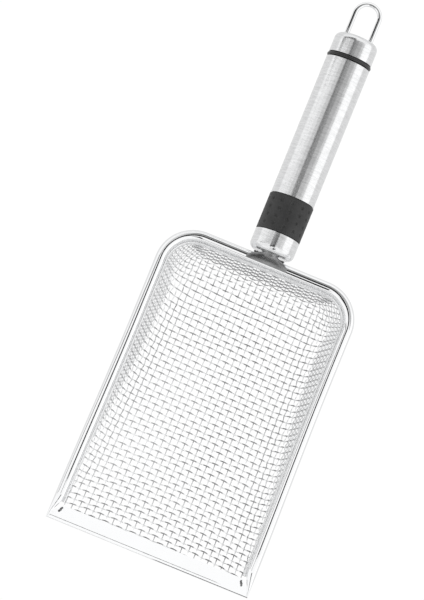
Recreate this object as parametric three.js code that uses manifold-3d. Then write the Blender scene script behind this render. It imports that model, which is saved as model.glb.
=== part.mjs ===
// Beach sand scoop: a pressed woven-wire basket in a U-shaped rim, on a hollow steel handle.
// Millimetres, +Z up. The handle runs towards +Y and the lip towards -Y.
// Origin: under the middle of the whole scoop, on the plane that the basket stands on.
// Pieces are first laid out from the rear of the rim, where y = 0, and from the middle of
// the rim rod, where z = 0; the last lines move the whole group onto the origin.
import * as THREE from "three";
import { mergeVertices } from "three/addons/utils/BufferGeometryUtils.js";
import Module from "manifold-3d";

const wasm = await Module();
wasm.setup();

// ---- Driving dimensions --------------------------------------------------------------
const GAP = 0.3; // clearance kept between pieces that touch

const HEAD_LENGTH = 187.8; // rear of the rim to the front edge of the lip
const HEAD_HALF_WIDTH = 60.7; // outside of the rim rod, near the handle
const MOUTH_FLARE = 1.65; // how much wider each side is at the lip
const FLARE_START = 60; // distance from the rear where the sides begin to open
const CORNER_RADIUS = 23; // outside of the rim rod

const ROD_RADIUS = 3.0;
const ROD_TIP_RADIUS = 0.6;
const ROD_TAPER = 16; // length of the ground-down end of the rod at each tip
const ROD_TIP_DROP = 1.8; // how far the tips bend down to meet the lip
const ROD_SHORT = 0.4; // the tips stop this far behind the lip's front edge
const ROD_SIDES = 16;
const BAND_INSET = 6.2; // from the outside of the rod to the middle of the band's slot
const BAND_WIDTH = 2.2;
const BAND_SHEET = 0.35;
const BAND_TOP = -2.5; // the band is tucked in under the rod
const BAND_SKIRT = 7.5; // how far the band hangs below the middle of the rod
const BAND_END = 176.3; // distance from the rear where the band stops
const BAND_EASE = 0.5; // rounding along the band's fold
const BAND_CLEAR = 1.9; // least height of the skirts over the middle of the cloth's floor

const MESH_SHEET = 0.2; // a plain sheet of the same weight as the woven cloth
const MESH_EDGE_Z = -3.3; // top edge of the cloth, inside the band
const WALL_START = 8.2; // depth at which the walls begin to lean inwards
const SIDE_DRAFT = Math.tan((10 * Math.PI) / 180);
const REAR_DRAFT = Math.tan((2 * Math.PI) / 180);
const REAR_FILLET = 30; // heel radius between the rear wall and the floor
const SIDE_FILLET = 13; // radius between the side walls and the floor
const EDGE_LEAN = 0.012; // inward lean of the cloth even where the walls stand upright
const LEAST_FILLET = 0.6; // the same radius at the lip, where the walls run out
const FLOOR_RADIUS = 485; // the floor rises to the lip on a shallow curve
const FLOOR_SLOPE = (30.5 * Math.PI) / 180; // where it meets the lip
const TAIL_LENGTH = 3; // flat front edge of the cloth, held in the lip
const TAIL_Z = -4.3;

const LIP_DEPTH = 9.8; // visible width of the lip, front to rear
const LIP_TOP = -2.85;
const BLADE_REAR = 183.2; // the lip spans the whole mouth in front of this
const LIP_SHEET = 0.7;
const LIP_BEVEL = 0.8; // length of the slope between the lip's under layer and its blade

const HANDLE_Z = 2; // height of the handle's axis over the middle of the rod
const FERRULE = { start: 1.6, end: 13.6, radius: 13.4, wall: 0.8, round: 3.5, hole: 4.85 };
const GRIP = { end: 35.4, radius: 13.4, bore: 10.6 };
const TUBE = { end: 122.5, radius: 13.15, wall: 0.8 };
const RING = { end: 125.1, radius: 13.4, bore: 10.8 };
const CAP = { end: 137.9, radius: 13.0, wall: 0.8, round: 4 };
const NECK_RADIUS = 4.5;
const NECK_END = 12;
const TANG = { start: 4.3, end: 68, radius: 3 };
const TANG_BORE = TANG.radius + GAP;
const COLLAR_END = 60; // rear end of the core inside the handle tube
const NUT = { flats: 10, height: 5, bore: 0.5 };
const WASHER = { radius: 8, height: 1.2 };
const PLUG_LENGTH = 18; // of the rear plug, inside the tube
const PLUG_CHAMFER = { front: 2.7, rear: 2.2 };
const GRIP_EASE = 0.35; // rounding of the grip band's edges
const LOOP = { wire: 1.45, half: 7.25, end: 160.6, foot: 134.6 };
const RETAINER = { length: 18.5, thick: 1.5, height: 8, ahead: 1.1 };
const TIP_WELD = { radius: 0.55, rearInset: 7.2, frontInset: 5.6, rear: 1.2, front: 0.6 };
const BRACKET_WELD = { radius: 0.5, start: 1.3, short: 3, y: 0.3, z: 2.45 };
const SADDLE = { half: 12.5, neck: 5, front: -4.9, rear: 1.3, low: 3.3, thick: 1.5 };

const ROUND = 32; // sides of a turned piece

// ---- Materials -----------------------------------------------------------------------
const metal = (color, roughness) =>
  new THREE.MeshStandardMaterial({ color, roughness, metalness: 1 });
const plastic = (color, roughness) =>
  new THREE.MeshStandardMaterial({ color, roughness, metalness: 0 });
const polished = metal(0xdfe1e3, 0.12);
const brushed = metal(0xc9cbcd, 0.34);
const wire = metal(0xb9bcbf, 0.28);
const weld = metal(0x77787a, 0.5);
const rubber = plastic(0x1c1c1d, 0.6);
const nylon = plastic(0x8c8c88, 0.55);

// ---- Helpers -------------------------------------------------------------------------
const scoop = new THREE.Group();

function add(name, geometry, material) {
  const mesh = new THREE.Mesh(geometry, material);
  mesh.name = name;
  scoop.add(mesh);
  return mesh;
}

function closed(positions, indices) {
  const g = new THREE.BufferGeometry();
  g.setAttribute("position", new THREE.Float32BufferAttribute(positions, 3));
  g.setIndex(indices);
  return facingOut(g);
}

// Turns every face round if the surface encloses a negative volume.
function facingOut(geometry) {
  const p = geometry.getAttribute("position");
  const index = geometry.index.array;
  const [a, b, c] = [new THREE.Vector3(), new THREE.Vector3(), new THREE.Vector3()];
  let volume = 0;
  for (let i = 0; i < index.length; i += 3) {
    a.fromBufferAttribute(p, index[i]);
    b.fromBufferAttribute(p, index[i + 1]);
    c.fromBufferAttribute(p, index[i + 2]);
    volume += a.dot(b.cross(c));
  }
  if (volume < 0)
    for (let i = 0; i < index.length; i += 3)
      [index[i + 1], index[i + 2]] = [index[i + 2], index[i + 1]];
  return geometry;
}

function merged(geometry) {
  const bare = geometry.clone();
  bare.deleteAttribute("normal");
  bare.deleteAttribute("uv");
  return facingOut(mergeVertices(bare, 1e-4));
}

function toSolid(geometry) {
  const g = merged(geometry);
  return new wasm.Manifold(
    new wasm.Mesh({
      numProp: 3,
      vertProperties: new Float32Array(g.getAttribute("position").array),
      triVerts: new Uint32Array(g.index.array),
    }),
  );
}

function fromSolid(solid) {
  const m = solid.getMesh();
  return closed(Array.from(m.vertProperties), Array.from(m.triVerts));
}

// Joins rings of points, each ring the same section further along, and closes both ends.
function loft(rings) {
  const n = rings[0].length;
  const positions = rings.flat().flatMap((p) => [p.x, p.y, p.z]);
  const indices = [];
  for (let r = 0; r + 1 < rings.length; r++)
    for (let i = 0; i < n; i++) {
      const [a, b] = [r * n + i, r * n + ((i + 1) % n)];
      indices.push(a, b, b + n, a, b + n, a + n);
    }
  const flat = flatten(rings[0]);
  const last = (rings.length - 1) * n;
  for (const [a, b, c] of THREE.ShapeUtils.triangulateShape(flat, [])) {
    indices.push(c, b, a);
    indices.push(last + a, last + b, last + c);
  }
  return closed(positions, indices);
}

// A ring's points in its own plane, for triangulating the ends.
function flatten(ring) {
  const across = ring[1].clone().sub(ring[0]).normalize();
  const normal = new THREE.Vector3();
  for (let i = 2; i < ring.length; i++)
    normal.add(
      ring[i - 1].clone().sub(ring[0]).cross(ring[i].clone().sub(ring[0])),
    );
  const up = normal.normalize().cross(across);
  return ring.map((p) => {
    const d = p.clone().sub(ring[0]);
    return new THREE.Vector2(d.dot(across), d.dot(up));
  });
}

function arc(cx, cy, radius, from, to, steps) {
  return Array.from({ length: steps + 1 }, (_, i) => {
    const angle = ((from + ((to - from) * i) / steps) * Math.PI) / 180;
    return new THREE.Vector2(cx + radius * Math.cos(angle), cy + radius * Math.sin(angle));
  });
}

// A piece turned about the handle's axis. A profile point is (radius, y).
function turned(profile, sides = ROUND) {
  const points = profile.map((p) => (p.isVector2 ? p : new THREE.Vector2(...p)));
  const off = points.every((p) => p.x > 0);
  const outline = off ? [...points, points[0]] : points;
  return merged(new THREE.LatheGeometry(outline, sides)).translate(0, 0, HANDLE_Z);
}

function sleeve(start, end, radius, bore, sides = ROUND) {
  return turned([[bore, start], [radius, start], [radius, end], [bore, end]], sides);
}

// ---- The rim's plan ------------------------------------------------------------------
const smooth = (t) => {
  const s = Math.min(1, Math.max(0, t));
  return s * s * (3 - 2 * s);
};
const flare = (y) =>
  MOUTH_FLARE * smooth((-y - FLARE_START) / (HEAD_LENGTH - FLARE_START));

// Points on the U-shaped rim, a distance inside its outer edge, from the left tip round
// the rear to the right tip. inset may change along the sides. n points outwards.
function rimPath(inset, frontEnd) {
  const corner = CORNER_RADIUS;
  const centre = new THREE.Vector2(HEAD_HALF_WIDTH - corner, -corner);
  const ends = [0, 2, 4, 6, 8, 10, 13, 20, 35, 60, 90];
  const right = [];
  for (const angle of [90, 78.75, 67.5, 56.25, 45, 33.75, 22.5, 11.25, 0]) {
    const n = new THREE.Vector2(
      Math.cos((angle * Math.PI) / 180),
      Math.sin((angle * Math.PI) / 180),
    );
    const r = corner - inset(-corner);
    right.push({ x: centre.x + r * n.x, y: centre.y + r * n.y, n });
  }
  for (const back of ends.reverse()) {
    const y = -frontEnd + back;
    right.push({
      x: HEAD_HALF_WIDTH + flare(y) - inset(y),
      y,
      n: new THREE.Vector2(1, 0),
    });
  }
  const left = right.map(({ x, y, n }) => ({
    x: -x,
    y,
    n: new THREE.Vector2(-n.x, n.y),
  }));
  return [...left.reverse(), ...right];
}

// Sweeps a section round the rim. section(y) gives points (outwards, up).
function roundRim(path, section) {
  return loft(
    path.map(({ x, y, n }) =>
      section(y).map(([out, up]) => new THREE.Vector3(x + n.x * out, y + n.y * out, up)),
    ),
  );
}

// ---- The basket's surface ------------------------------------------------------------
const MESH_HALF_WIDTH = HEAD_HALF_WIDTH - BAND_INSET;
const MESH_REAR = -BAND_INSET;
const MESH_CORNER = CORNER_RADIUS - BAND_INSET;
const LIP_REAR = -(HEAD_LENGTH - LIP_DEPTH);
const TAIL_END = LIP_REAR - TAIL_LENGTH;

const roundMin = (a, b, r) =>
  a < r && b < r ? r - Math.hypot(r - a, r - b) : Math.min(a, b);

function floorZ(y) {
  const d = Math.max(0, y - LIP_REAR);
  const c = FLOOR_RADIUS * Math.sin(FLOOR_SLOPE);
  const drop =
    Math.sqrt(FLOOR_RADIUS ** 2 - (c - d) ** 2) - FLOOR_RADIUS * Math.cos(FLOOR_SLOPE);
  return TAIL_Z - drop;
}

// How far a wall has leant inwards at height z. The last term keeps it just off upright.
const lean = (z, draft) => Math.max(0, -WALL_START - z) * draft + (MESH_EDGE_Z - z) * EDGE_LEAN;

// Distance into the basket from its cloth: 0 on the cloth, positive inside.
function inside(x, y, z) {
  const slope = Math.atan2(floorZ(y) - floorZ(y + 1), 1);
  const aboveFloor = (z - floorZ(y)) * Math.cos(slope);
  const fromRear = MESH_REAR - lean(z, REAR_DRAFT) - y;
  const trough = roundMin(aboveFloor, fromRear, REAR_FILLET);
  const fromSide = MESH_HALF_WIDTH + flare(y) - lean(z, SIDE_DRAFT) - Math.abs(x);
  const nearRear = smooth(1 - (MESH_REAR - y) / REAR_FILLET);
  const fillet = THREE.MathUtils.lerp(SIDE_FILLET, MESH_CORNER, nearRear);
  const belowSkirt = THREE.MathUtils.clamp(-floorZ(y) - WALL_START, LEAST_FILLET, fillet);
  return roundMin(trough, fromSide, belowSkirt);
}

function meshZ(x, y) {
  let low = -80;
  let high = MESH_EDGE_Z;
  if (inside(x, y, high) <= 0) return high;
  for (let i = 0; i < 40; i++) {
    const middle = (low + high) / 2;
    if (inside(x, y, middle) > 0) high = middle;
    else low = middle;
  }
  return high;
}

function meshNormal(x, y, z) {
  const e = 0.05;
  return new THREE.Vector3(
    inside(x + e, y, z) - inside(x - e, y, z),
    inside(x, y + e, z) - inside(x, y - e, z),
    inside(x, y, z + e) - inside(x, y, z - e),
  ).normalize();
}

// Half width of the cloth at its top edge.
function mouthHalf(y) {
  const into = Math.max(0, y - (MESH_REAR - MESH_CORNER));
  const cut = MESH_CORNER - Math.sqrt(Math.max(0, MESH_CORNER ** 2 - into ** 2));
  return MESH_HALF_WIDTH + flare(y) - cut;
}

function basketGeometry() {
  const fromWall = [0, 0.15, 1.4, 3.4, 6, 8.6, 12, 16.5, 22.5, 30];
  const fromRear = [0, 0.12, 0.5, 1.1, 2.1, 3.8, 6.5, 10, 14.5, 20, 26.5, 34, 43];
  const length = MESH_REAR - TAIL_END;
  const rest = length - fromRear.at(-1) - TAIL_LENGTH;
  const steps = 12;
  const ys = fromRear.map((d) => MESH_REAR - d);
  for (let i = 1; i <= steps; i++)
    ys.push(MESH_REAR - fromRear.at(-1) - (rest * i) / steps);
  ys.push(TAIL_END);
  const columns = [...fromWall, ...fromWall.toReversed()];
  const [inner, outer] = [[], []];
  for (const y of ys)
    columns.forEach((d, i) => {
      const side = i < fromWall.length ? -1 : 1;
      const x = side * (mouthHalf(y) - d);
      const z = d === 0 || y === MESH_REAR ? MESH_EDGE_Z : meshZ(x, y);
      const n = meshNormal(x, y, z);
      const at = new THREE.Vector3(x, y, z);
      inner.push(at.clone().addScaledVector(n, MESH_SHEET / 2));
      outer.push(at.clone().addScaledVector(n, -MESH_SHEET / 2));
    });
  const w = columns.length;
  const indices = [];
  const quad = (a, b, c, d) => indices.push(a, b, c, a, c, d);
  const shift = inner.length;
  for (let j = 0; j + 1 < ys.length; j++)
    for (let i = 0; i + 1 < w; i++) {
      const a = j * w + i;
      quad(a, a + 1, a + 1 + w, a + w);
      quad(shift + a, shift + a + w, shift + a + 1 + w, shift + a + 1);
    }
  const border = [];
  for (let i = 0; i + 1 < w; i++) border.push(i);
  for (let j = 0; j + 1 < ys.length; j++) border.push(j * w + w - 1);
  for (let i = w - 1; i > 0; i--) border.push((ys.length - 1) * w + i);
  for (let j = ys.length - 1; j > 0; j--) border.push(j * w);
  border.forEach((a, i) => {
    const b = border[(i + 1) % border.length];
    quad(a, shift + a, shift + b, b);
  });
  return closed([...inner, ...outer].flatMap((p) => [p.x, p.y, p.z]), indices);
}

// ---- The head ------------------------------------------------------------------------
function rimRod() {
  const taper = (y) =>
    THREE.MathUtils.lerp(
      ROD_TIP_RADIUS,
      ROD_RADIUS,
      smooth((y + HEAD_LENGTH) / ROD_TAPER),
    );
  const drop = (y) => ROD_TIP_DROP * smooth(1 - (y + HEAD_LENGTH) / ROD_TAPER);
  return roundRim(rimPath(taper, HEAD_LENGTH - ROD_SHORT), (y) =>
    Array.from({ length: ROD_SIDES }, (_, i) => {
      const angle = (2 * Math.PI * i) / ROD_SIDES;
      return [taper(y) * Math.cos(angle), taper(y) * Math.sin(angle) - drop(y)];
    }),
  );
}

// A folded strip, open below, that grips the cloth's edge under the rod. Its skirts get
// shorter near the lip, where the floor comes up to meet them.
function rimBand() {
  const half = BAND_WIDTH / 2;
  const slot = half - BAND_SHEET;
  return roundRim(rimPath(() => BAND_INSET, BAND_END), (y) => {
    const low = Math.max(-BAND_SKIRT, floorZ(y) + BAND_CLEAR);
    const roof = BAND_TOP - BAND_SHEET;
    return [
      [half, low],
      [half, BAND_TOP - BAND_EASE],
      [half - BAND_EASE, BAND_TOP],
      [-half + BAND_EASE, BAND_TOP],
      [-half, BAND_TOP - BAND_EASE],
      [-half, low],
      [-slot, low],
      [-slot, roof],
      [slot, roof],
      [slot, low],
    ];
  });
}

// A strip folded back under itself. The cloth's front edge sits between its two layers.
function frontLip() {
  const tongueHalf = MESH_HALF_WIDTH + flare(LIP_REAR) - MESH_SHEET / 2 - 2 * GAP;
  const slotHalf = MESH_SHEET / 2 + GAP;
  const slotEnd = TAIL_END - GAP;
  const low = TAIL_Z - slotHalf - LIP_SHEET;
  const profile = new THREE.Shape([
    new THREE.Vector2(LIP_REAR, LIP_TOP),
    new THREE.Vector2(-BLADE_REAR - 1, LIP_TOP),
    new THREE.Vector2(-BLADE_REAR - 1, LIP_TOP - 2 * LIP_SHEET),
    new THREE.Vector2(slotEnd - LIP_BEVEL, low),
    new THREE.Vector2(LIP_REAR, low),
    new THREE.Vector2(LIP_REAR, TAIL_Z - slotHalf),
    new THREE.Vector2(slotEnd, TAIL_Z - slotHalf),
    new THREE.Vector2(slotEnd, TAIL_Z + slotHalf),
    new THREE.Vector2(LIP_REAR, TAIL_Z + slotHalf),
  ]);
  const tongue = new THREE.ExtrudeGeometry(profile, {
    depth: 2 * tongueHalf,
    bevelEnabled: false,
  });
  // The extrusion runs along its own z; turn that to x, and its x and y to y and z.
  tongue.applyMatrix4(
    new THREE.Matrix4().makeBasis(
      new THREE.Vector3(0, 1, 0),
      new THREE.Vector3(0, 0, 1),
      new THREE.Vector3(1, 0, 0),
    ),
  );
  tongue.translate(-tongueHalf, 0, 0);
  const outer = HEAD_HALF_WIDTH + MOUTH_FLARE;
  const plan = new THREE.Shape([
    new THREE.Vector2(-outer + GAP, -BLADE_REAR),
    new THREE.Vector2(-outer, -HEAD_LENGTH),
    new THREE.Vector2(outer, -HEAD_LENGTH),
    new THREE.Vector2(outer - GAP, -BLADE_REAR),
  ]);
  const blade = new THREE.ExtrudeGeometry(plan, {
    depth: 2 * LIP_SHEET,
    bevelEnabled: false,
  }).translate(0, 0, LIP_TOP - 2 * LIP_SHEET);
  return fromSolid(toSolid(tongue).add(toSolid(blade)));
}

// A bead with round ends, lying along a line.
function bead(from, to, radius) {
  const length = from.distanceTo(to);
  const capsule = new THREE.CapsuleGeometry(radius, length, 4, 10);
  const along = to.clone().sub(from).normalize();
  capsule.applyQuaternion(
    new THREE.Quaternion().setFromUnitVectors(new THREE.Vector3(0, 1, 0), along),
  );
  const middle = from.clone().add(to).multiplyScalar(0.5);
  return merged(capsule).translate(middle.x, middle.y, middle.z);
}

// The weld that fills the corner between the rod's tapered end and the lip.
function tipWeld(side) {
  const { radius, rearInset, frontInset, rear, front } = TIP_WELD;
  const z = LIP_TOP + GAP + radius;
  const outer = HEAD_HALF_WIDTH + MOUTH_FLARE;
  return bead(
    new THREE.Vector3(side * (outer - rearInset), LIP_REAR - rear, z),
    new THREE.Vector3(side * (outer - frontInset), -BLADE_REAR + front, z),
    radius,
  );
}

// ---- The joint between head and handle -----------------------------------------------
function handleBracket() {
  const { half, neck, front, rear, low, thick } = SADDLE;
  const outline = new THREE.Shape();
  outline.moveTo(-half, front);
  outline.lineTo(half, front);
  outline.quadraticCurveTo(neck + 1, front + 1.5, neck, rear);
  outline.lineTo(-neck, rear);
  outline.quadraticCurveTo(-neck - 1, front + 1.5, -half, front);
  const saddle = new THREE.ExtrudeGeometry(outline, {
    depth: thick,
    bevelEnabled: false,
    curveSegments: 6,
  }).translate(0, 0, low);
  const shank = turned([
    [0, GAP],
    [NECK_RADIUS, GAP],
    [NECK_RADIUS, NECK_END],
    [TANG_BORE, NECK_END],
    [TANG_BORE, TANG.start - GAP],
    [0, TANG.start - GAP],
  ]);
  return fromSolid(toSolid(saddle).add(toSolid(shank)));
}

function bracketWeld(side) {
  const { radius, start, short, y, z } = BRACKET_WELD;
  return bead(
    new THREE.Vector3(side * (NECK_RADIUS + start), y, z),
    new THREE.Vector3(side * (SADDLE.half - short), y, z),
    radius,
  );
}

// ---- The handle ----------------------------------------------------------------------
function ferrule() {
  const { start, end, radius, wall, round, hole } = FERRULE;
  const [cx, cy] = [radius - round, start + round];
  return turned([
    [hole, start],
    ...arc(cx, cy, round, -90, 0, 5),
    [radius, end - GAP],
    [radius - wall, end - GAP],
    ...arc(cx, cy, round - wall, 0, -90, 5),
    [hole, start + wall],
  ]);
}

function frontPlug() {
  const radius = FERRULE.radius - FERRULE.wall - GAP;
  const start = FERRULE.start + FERRULE.wall + GAP;
  return turned([
    [FERRULE.hole, start],
    [radius - PLUG_CHAMFER.front, start],
    [radius, start + PLUG_CHAMFER.front],
    [radius, FERRULE.end - GAP],
    [FERRULE.hole, FERRULE.end - GAP],
  ]);
}

function gripBand() {
  const [start, end] = [FERRULE.end, GRIP.end];
  return turned([
    [GRIP.bore, start],
    [GRIP.radius - GRIP_EASE, start],
    [GRIP.radius, start + GRIP_EASE],
    [GRIP.radius, end - GRIP_EASE],
    [GRIP.radius - GRIP_EASE, end],
    [GRIP.bore, end],
  ]);
}

function coreSleeve() {
  const collar = TUBE.radius - TUBE.wall - GAP;
  return turned([
    [TANG_BORE, FERRULE.end],
    [GRIP.bore - GAP, FERRULE.end],
    [GRIP.bore - GAP, GRIP.end + GAP],
    [collar, GRIP.end + GAP],
    [collar, COLLAR_END],
    [TANG_BORE, COLLAR_END],
  ]);
}

function tangNut() {
  const start = COLLAR_END + GAP + WASHER.height + GAP;
  const corner = NUT.flats / 2 / Math.cos(Math.PI / 6);
  const hex = sleeve(start, start + NUT.height, corner, NUT.bore, 6);
  const bore = turned([[0, start - 1], [TANG_BORE, start - 1],
    [TANG_BORE, start + NUT.height + 1], [0, start + NUT.height + 1]]);
  return fromSolid(toSolid(hex).subtract(toSolid(bore)));
}

function spacerRing() {
  const [start, end] = [TUBE.end, RING.end - GAP];
  const middle = (start + end) / 2;
  const half = (end - start) / 2;
  return turned([
    [RING.bore, start],
    ...arc(RING.radius - half, middle, half, -90, 90, 6),
    [RING.bore, end],
  ]);
}

function rearPlug() {
  const inTube = TUBE.radius - TUBE.wall - GAP;
  const inCap = CAP.radius - CAP.wall - GAP;
  const neck = RING.bore - GAP;
  const top = LOOP.foot - GAP;
  return turned([
    [0, TUBE.end - PLUG_LENGTH],
    [inTube, TUBE.end - PLUG_LENGTH],
    [inTube, TUBE.end - GAP],
    [neck, TUBE.end - GAP],
    [neck, RING.end + GAP],
    [inCap, RING.end + GAP],
    [inCap, top - PLUG_CHAMFER.rear],
    [inCap - PLUG_CHAMFER.rear, top],
    [0, top],
  ]);
}

function legHoles(y) {
  return [-1, 1].map((side) =>
    toSolid(
      new THREE.CylinderGeometry(LOOP.wire + GAP, LOOP.wire + GAP, 6, 12).translate(
        side * LOOP.half,
        y,
        HANDLE_Z,
      ),
    ),
  );
}

function endCap() {
  const { end, radius, wall, round } = CAP;
  const [cx, cy] = [radius - round, end - round];
  const cup = turned([
    [radius - wall, RING.end],
    [radius, RING.end],
    ...arc(cx, cy, round, 0, 90, 5),
    [0, end],
    [0, end - wall],
    ...arc(cx, cy, round - wall, 90, 0, 5),
    [radius - wall, RING.end],
  ]);
  return fromSolid(legHoles(end).reduce((body, hole) => body.subtract(hole), toSolid(cup)));
}

// A bar that the ends of the loop are peened through, inside the end cap.
function loopRetainer() {
  const { length, thick, height, ahead } = RETAINER;
  const y = LOOP.foot + ahead;
  const bar = new THREE.BoxGeometry(length, thick, height).translate(0, y, HANDLE_Z);
  return fromSolid(legHoles(y).reduce((body, hole) => body.subtract(hole), toSolid(bar)));
}

function hangingLoop() {
  const bendY = LOOP.end - LOOP.wire - LOOP.half;
  const at = (x, y) => new THREE.Vector3(x, y, HANDLE_Z);
  const bend = Array.from({ length: 13 }, (_, i) => {
    const angle = Math.PI - (Math.PI * i) / 12;
    return at(LOOP.half * Math.cos(angle), bendY + LOOP.half * Math.sin(angle));
  });
  const rings = [at(-LOOP.half, LOOP.foot), ...bend, at(LOOP.half, LOOP.foot)].map(
    (centre, i, all) => {
      const before = all[Math.max(0, i - 1)];
      const after = all[Math.min(all.length - 1, i + 1)];
      const along = after.clone().sub(before).normalize();
      if (centre.y < bendY - 1) along.set(0, centre.x < 0 ? 1 : -1, 0);
      const out = new THREE.Vector3(-along.y, along.x, 0);
      return Array.from({ length: 12 }, (_, k) => {
        const angle = (2 * Math.PI * k) / 12;
        return centre
          .clone()
          .addScaledVector(out, LOOP.wire * Math.cos(angle))
          .add(new THREE.Vector3(0, 0, LOOP.wire * Math.sin(angle)));
      });
    },
  );
  return loft(rings);
}

// ---- Assembly ------------------------------------------------------------------------
add("rim_rod", rimRod(), polished);
add("rim_band", rimBand(), polished);
add("mesh_basket", basketGeometry(), wire);
add("front_lip", frontLip(), polished);
add("tip_weld_left", tipWeld(-1), weld);
add("tip_weld_right", tipWeld(1), weld);
add("handle_bracket", handleBracket(), weld);
add("bracket_weld_left", bracketWeld(-1), weld);
add("bracket_weld_right", bracketWeld(1), weld);
add("ferrule", ferrule(), polished);
add("front_plug", frontPlug(), nylon);
add("grip_band", gripBand(), rubber);
add("core_sleeve", coreSleeve(), nylon);
add("tang_rod", turned([[0, TANG.start], [TANG.radius, TANG.start],
  [TANG.radius, TANG.end], [0, TANG.end]], 16), weld);
add("tang_washer", sleeve(COLLAR_END + GAP, COLLAR_END + GAP + WASHER.height,
  WASHER.radius, TANG_BORE, 16), weld);
add("tang_nut", tangNut(), weld);
add("handle_tube", sleeve(GRIP.end + GAP, TUBE.end - GAP, TUBE.radius,
  TUBE.radius - TUBE.wall), brushed);
add("spacer_ring", spacerRing(), rubber);
add("rear_plug", rearPlug(), nylon);
add("end_cap", endCap(), brushed);
add("loop_retainer", loopRetainer(), weld);
add("hanging_loop", hangingLoop(), polished);

// Onto the origin: the middle of the length, and the lowest point of the basket.
const part = new THREE.Group();
part.name = "beach_sand_scoop";
scoop.updateMatrixWorld(true);
const box = new THREE.Box3().setFromObject(scoop);
scoop.position.set(0, (HEAD_LENGTH - LOOP.end) / 2, -box.min.z);
part.add(scoop);

export default part;
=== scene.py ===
"""Beach sand scoop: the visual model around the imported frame.

Lengths in the shape code are millimetres in "scoop coordinates": y = 0 at the rear outer edge
of the rim, z = 0 at the middle of the rim rod, x = 0 in the scoop's mirror plane. row() turns
them into the frame's metres.
"""
import bpy
import math
import numpy as np
from mathutils import Matrix, Vector


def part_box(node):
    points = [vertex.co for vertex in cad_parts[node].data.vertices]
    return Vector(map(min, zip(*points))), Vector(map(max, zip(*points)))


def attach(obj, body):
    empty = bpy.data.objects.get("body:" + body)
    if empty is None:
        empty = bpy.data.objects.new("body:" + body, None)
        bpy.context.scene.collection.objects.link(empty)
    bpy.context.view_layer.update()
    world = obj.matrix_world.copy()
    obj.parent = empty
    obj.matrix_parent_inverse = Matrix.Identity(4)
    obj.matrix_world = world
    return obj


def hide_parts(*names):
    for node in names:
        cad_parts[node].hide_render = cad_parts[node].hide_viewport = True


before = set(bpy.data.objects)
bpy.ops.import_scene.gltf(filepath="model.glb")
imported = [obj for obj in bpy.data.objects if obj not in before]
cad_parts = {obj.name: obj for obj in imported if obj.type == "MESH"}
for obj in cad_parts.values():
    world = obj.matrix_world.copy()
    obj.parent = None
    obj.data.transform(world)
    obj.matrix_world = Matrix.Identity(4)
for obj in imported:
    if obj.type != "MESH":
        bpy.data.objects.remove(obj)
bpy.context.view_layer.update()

# ---- Driving dimensions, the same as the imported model's ------------------------------------
HEAD_LENGTH = 187.8
HEAD_HALF_WIDTH = 60.7
MOUTH_FLARE = 1.65
FLARE_START = 60.0
CORNER_RADIUS = 23.0
ROD_RADIUS = 3.0
ROD_TIP_RADIUS = 0.6
ROD_TAPER = 16.0
ROD_TIP_DROP = 1.8
ROD_SHORT = 0.4
BAND_INSET = 6.2
BAND_WIDTH = 2.2
BAND_SHEET = 0.35
BAND_TOP = -2.5
BAND_SKIRT = 7.5
BAND_CLEAR = 1.9
BAND_END = 176.3
MESH_EDGE_Z = -3.3
WALL_START = 8.2
SIDE_DRAFT = math.tan(math.radians(10))
REAR_DRAFT = math.tan(math.radians(2))
REAR_FILLET = 30.0
SIDE_FILLET = 13.0
EDGE_LEAN = 0.012
LEAST_FILLET = 0.6
FLOOR_RADIUS = 485.0
FLOOR_SLOPE = math.radians(30.5)
TAIL_LENGTH = 3.0
TAIL_Z = -4.3
LIP_DEPTH = 9.8
LIP_TOP = -2.85
LIP_SHEET = 0.7
BLADE_REAR = 183.2
HANDLE_Z = 2.0
MESH_HALF_WIDTH = HEAD_HALF_WIDTH - BAND_INSET
MESH_REAR = -BAND_INSET
MESH_CORNER = CORNER_RADIUS - BAND_INSET
LIP_REAR = LIP_DEPTH - HEAD_LENGTH
TAIL_END = LIP_REAR - TAIL_LENGTH

# ---- The woven cloth -----------------------------------------------------------------------
WIRE = 0.35  # radius
PITCH = 3.95
CRIMP = 0.35  # how far each wire swings off the cloth's middle
SAMPLES = 4  # points along a wire between two crossings
WIRE_SIDES = 6

# ---- Where the scoop lies in the frame -----------------------------------------------------
MM = 0.001
REAR_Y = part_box("rim_rod")[1][1]
MIDDLE_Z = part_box("rim_rod")[1][2] - ROD_RADIUS * MM


def row(points):
    """Scoop coordinates in millimetres to the frame's metres."""
    return np.asarray(points, float) * MM + np.array([0.0, REAR_Y, MIDDLE_Z])


def smooth(t):
    s = np.clip(t, 0.0, 1.0)
    return s * s * (3 - 2 * s)


def flare(y):
    return MOUTH_FLARE * smooth((-y - FLARE_START) / (HEAD_LENGTH - FLARE_START))


# ---- Mesh helpers --------------------------------------------------------------------------
HARD_EDGE = math.radians(32)


def piece(name, points, faces, material, nodes):
    """A new visible piece in the frame, standing for its CAD nodes."""
    mesh = bpy.data.meshes.new(name)
    mesh.from_pydata([tuple(p) for p in row(points)], [], faces)
    mesh.materials.append(material)
    mesh.polygons.foreach_set("use_smooth", [True] * len(mesh.polygons))
    mesh.set_sharp_from_angle(angle=HARD_EDGE)
    mesh.update()
    obj = bpy.data.objects.new(name, mesh)
    bpy.context.scene.collection.objects.link(obj)
    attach(obj, "root")
    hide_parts(*nodes)
    return obj


def grid_faces(rows, columns, wrap_rows=False, wrap_columns=True, start=0):
    faces = []
    for r in range(rows if wrap_rows else rows - 1):
        for c in range(columns if wrap_columns else columns - 1):
            a = start + r * columns + c
            b = start + r * columns + (c + 1) % columns
            shift = columns if r + 1 < rows else -r * columns
            faces.append((a, b, b + shift, a + shift))
    return faces


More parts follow.
